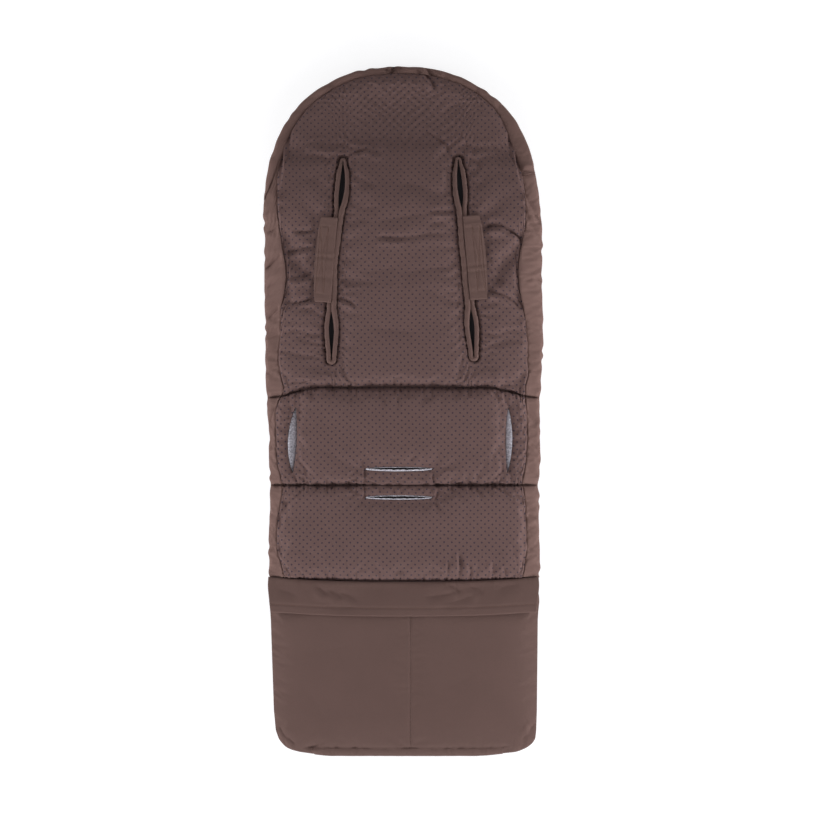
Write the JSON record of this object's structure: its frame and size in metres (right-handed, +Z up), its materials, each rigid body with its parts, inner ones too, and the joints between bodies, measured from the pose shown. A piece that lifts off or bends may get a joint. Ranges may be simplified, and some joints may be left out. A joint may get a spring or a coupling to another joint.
{
  "type": "stroller footmuff",
  "caption": "Quilted stroller footmuff lying face down: anti-slip back with harness, lap and crotch slots, hooded head end, side zips and a foot bag with a flap over its own zip.",
  "frame": {"origin": "under the middle of the muff's outline, on the surface that it lies on", "axes": "+Y to the hood end, +X to the right seen from above, +Z up, out of the anti-slip back"},
  "size_m": [0.402, 1, 0.0575],
  "materials": {
    "smooth_fabric": "matte",
    "antislip_fabric": "matte",
    "fleece": "matte",
    "black_facing": "matte",
    "zip_tape": "matte",
    "hook_and_loop": "matte",
    "zip_metal": "satin"
  },
  "bodies": {
    "foot_bag": {"front_cover": "smooth_fabric", "cover_lining": "fleece", "cover_hem": "smooth_fabric", "cover_zip_left": "zip_tape", "cover_zip_right": "zip_tape", "foot_panel_left": "smooth_fabric", "foot_panel_right": "smooth_fabric", "toe_strip": "smooth_fabric", "foot_gusset": "smooth_fabric", "foot_lining": "fleece", "seam_binding": "zip_tape", "foot_zip_seam_side": "zip_tape", "foot_zip_toe_side": "zip_tape"},
    "legs_mat": {"legs_panel": "antislip_fabric", "legs_side_left": "smooth_fabric", "legs_side_right": "smooth_fabric", "legs_lining": "fleece", "legs_zip_left": "zip_tape", "legs_zip_right": "zip_tape", "crotch_slot_facing_legs": "fleece"},
    "seat_mat": {"seat_panel": "antislip_fabric", "seat_side_left": "smooth_fabric", "seat_side_right": "smooth_fabric", "seat_lining": "fleece", "seat_zip_left": "zip_tape", "seat_zip_right": "zip_tape", "crotch_slot_facing_seat": "fleece", "lap_slot_facing_left": "fleece", "lap_slot_facing_right": "fleece"},
    "head_mat": {"head_panel": "antislip_fabric", "head_side_left": "smooth_fabric", "head_side_right": "smooth_fabric", "hood_rim": "smooth_fabric", "head_lining": "fleece", "head_zip_left": "zip_tape", "head_zip_right": "zip_tape", "harness_welt_left": "smooth_fabric", "harness_welt_right": "smooth_fabric", "harness_facing_left": "black_facing", "harness_facing_right": "black_facing", "loop_patch_left": "hook_and_loop", "loop_patch_right": "hook_and_loop"},
    "tab_left": {"closure_tab_left": "smooth_fabric", "hook_patch_left": "hook_and_loop"},
    "tab_right": {"closure_tab_right": "smooth_fabric", "hook_patch_right": "hook_and_loop"},
    "band": {"band_flap": "smooth_fabric"},
    "slider_left": {"zip_slider_left": "zip_metal"},
    "slider_right": {"zip_slider_right": "zip_metal"},
    "puller_left": {"zip_puller_left": "zip_metal"},
    "puller_right": {"zip_puller_right": "zip_metal"},
    "foot_slider": {"foot_zip_slider": "zip_metal"},
    "foot_puller": {"foot_zip_puller": "zip_metal"}
  },
  "joints": [
    {"name": "mat_lift", "type": "hinge", "parent": "foot_bag", "child": "legs_mat", "pos_m": [0, -0.2465, 0.047], "axis": [1, 0, 0], "range_deg": [0, 110]},
    {"name": "knee_fold", "type": "hinge", "parent": "legs_mat", "child": "seat_mat", "pos_m": [0, -0.1075, 0.047], "axis": [-1, 0, 0], "range_deg": [-90, 0]},
    {"name": "hip_fold", "type": "hinge", "parent": "seat_mat", "child": "head_mat", "pos_m": [0, 0.027, 0.047], "axis": [-1, 0, 0], "range_deg": [-90, 0]},
    {"name": "band_lift", "type": "hinge", "parent": "foot_bag", "child": "band", "pos_m": [0, -0.2468, 0.0465], "axis": [1, 0, 0], "range_deg": [-100, 0]},
    {"name": "tab_open_left", "type": "hinge", "parent": "head_mat", "child": "tab_left", "pos_m": [-0.09915, 0.21753, 0.05653], "axis": [0.0788, 0.9969, 0], "range_deg": [0, 150]},
    {"name": "tab_open_right", "type": "hinge", "parent": "head_mat", "child": "tab_right", "pos_m": [0.09046, 0.22054, 0.05669], "axis": [0.0885, -0.9961, 0], "range_deg": [0, 150]},
    {"name": "zip_left", "type": "slide", "parent": "foot_bag", "child": "slider_left", "axis": [0, 1, 0], "range_m": [0, 0.4855]},
    {"name": "zip_right", "type": "slide", "parent": "foot_bag", "child": "slider_right", "axis": [0, 1, 0], "range_m": [0, 0.4855]},
    {"name": "puller_swing_left", "type": "hinge", "parent": "slider_left", "child": "puller_left", "pos_m": [-0.1847, -0.2397, 0.022], "axis": [0, 0, -1], "range_deg": [0, 150]},
    {"name": "puller_swing_right", "type": "hinge", "parent": "slider_right", "child": "puller_right", "pos_m": [0.1847, -0.2397, 0.022], "axis": [0, 0, 1], "range_deg": [0, 150]},
    {"name": "foot_zip", "type": "slide", "parent": "foot_bag", "child": "foot_slider", "axis": [1, 0, 0], "range_m": [0, 0.3304]},
    {"name": "foot_puller_lift", "type": "hinge", "parent": "foot_slider", "child": "foot_puller", "pos_m": [-0.1652, -0.2575, 0.0402], "axis": [0, 1, 0], "range_deg": [0, 8]}
  ]
}
